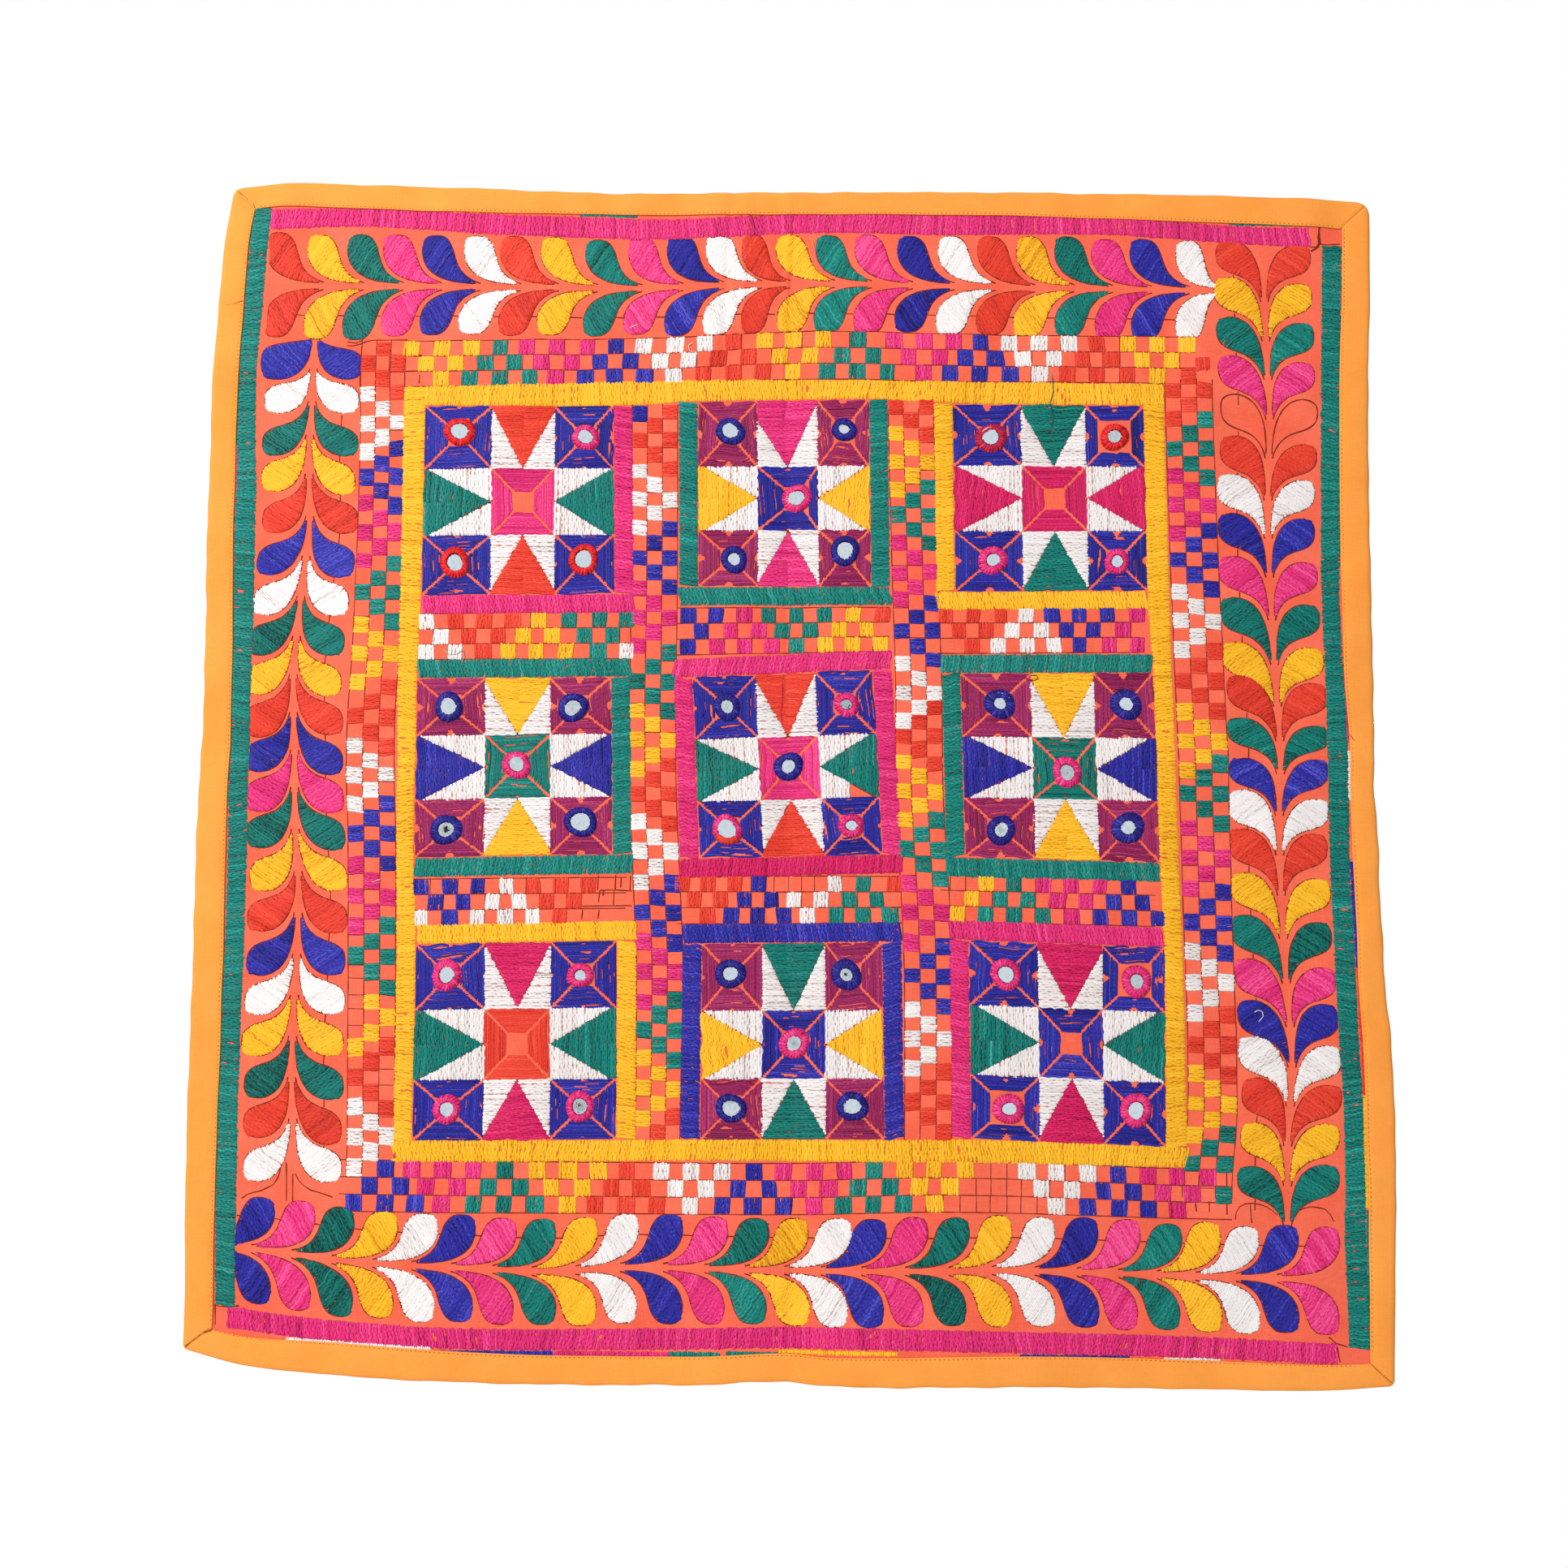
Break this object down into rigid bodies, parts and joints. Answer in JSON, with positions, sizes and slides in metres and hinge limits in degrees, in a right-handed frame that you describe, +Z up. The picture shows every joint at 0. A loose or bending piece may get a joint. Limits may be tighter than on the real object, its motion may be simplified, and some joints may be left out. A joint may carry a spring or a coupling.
{
  "type": "embroidered wall hanging",
  "caption": "Square embroidered cloth wall hanging with a folded edge binding and small round mirrors set in star blocks; it hangs flat by its top edge.",
  "frame": {"origin": "middle of the top edge, where the hanging is held", "axes": "+X to the viewer's right across the hanging, +Y away from the viewer towards the wall, +Z up"},
  "size_m": [0.7733, 0.0115, 0.7827],
  "materials": {
    "ground": "plain woven cotton, matt",
    "binding": "plain woven cotton, matt",
    "mirror": "silvered glass",
    "floss": "untwisted floss with a silky sheen",
    "thread": "sewing thread",
    "drawn_line": "drawn ink on cloth"
  },
  "bodies": {
    "root": {"ground_cloth": "ground", "binding_top": "binding", "binding_bottom": "binding", "binding_left": "binding", "binding_right": "binding", "mirror_1_upLeft": "mirror", "mirror_1_upRight": "mirror", "mirror_1_lowLeft": "mirror", "mirror_1_lowRight": "mirror", "mirror_2_upLeft": "mirror", "mirror_2_upRight": "mirror", "mirror_2_lowLeft": "mirror", "mirror_2_lowRight": "mirror", "mirror_2_middle": "mirror", "mirror_3_upLeft": "mirror", "mirror_3_upRight": "mirror", "mirror_3_lowLeft": "mirror", "mirror_3_lowRight": "mirror", "mirror_4_upLeft": "mirror", "mirror_4_upRight": "mirror", "mirror_4_lowLeft": "mirror", "mirror_4_lowRight": "mirror", "mirror_4_middle": "mirror", "mirror_5_upLeft": "mirror", "mirror_5_upRight": "mirror", "mirror_5_lowLeft": "mirror", "mirror_5_lowRight": "mirror", "mirror_5_middle": "mirror", "mirror_6_upLeft": "mirror", "mirror_6_upRight": "mirror", "mirror_6_lowLeft": "mirror", "mirror_6_lowRight": "mirror", "mirror_6_middle": "mirror", "mirror_7_upLeft": "mirror", "mirror_7_upRight": "mirror", "mirror_7_lowLeft": "mirror", "mirror_7_lowRight": "mirror", "mirror_8_upLeft": "mirror", "mirror_8_upRight": "mirror", "mirror_8_lowLeft": "mirror", "mirror_8_lowRight": "mirror", "mirror_8_middle": "mirror", "mirror_9_upLeft": "mirror", "mirror_9_upRight": "mirror", "mirror_9_lowLeft": "mirror", "mirror_9_lowRight": "mirror"}
  },
  "joints": []
}
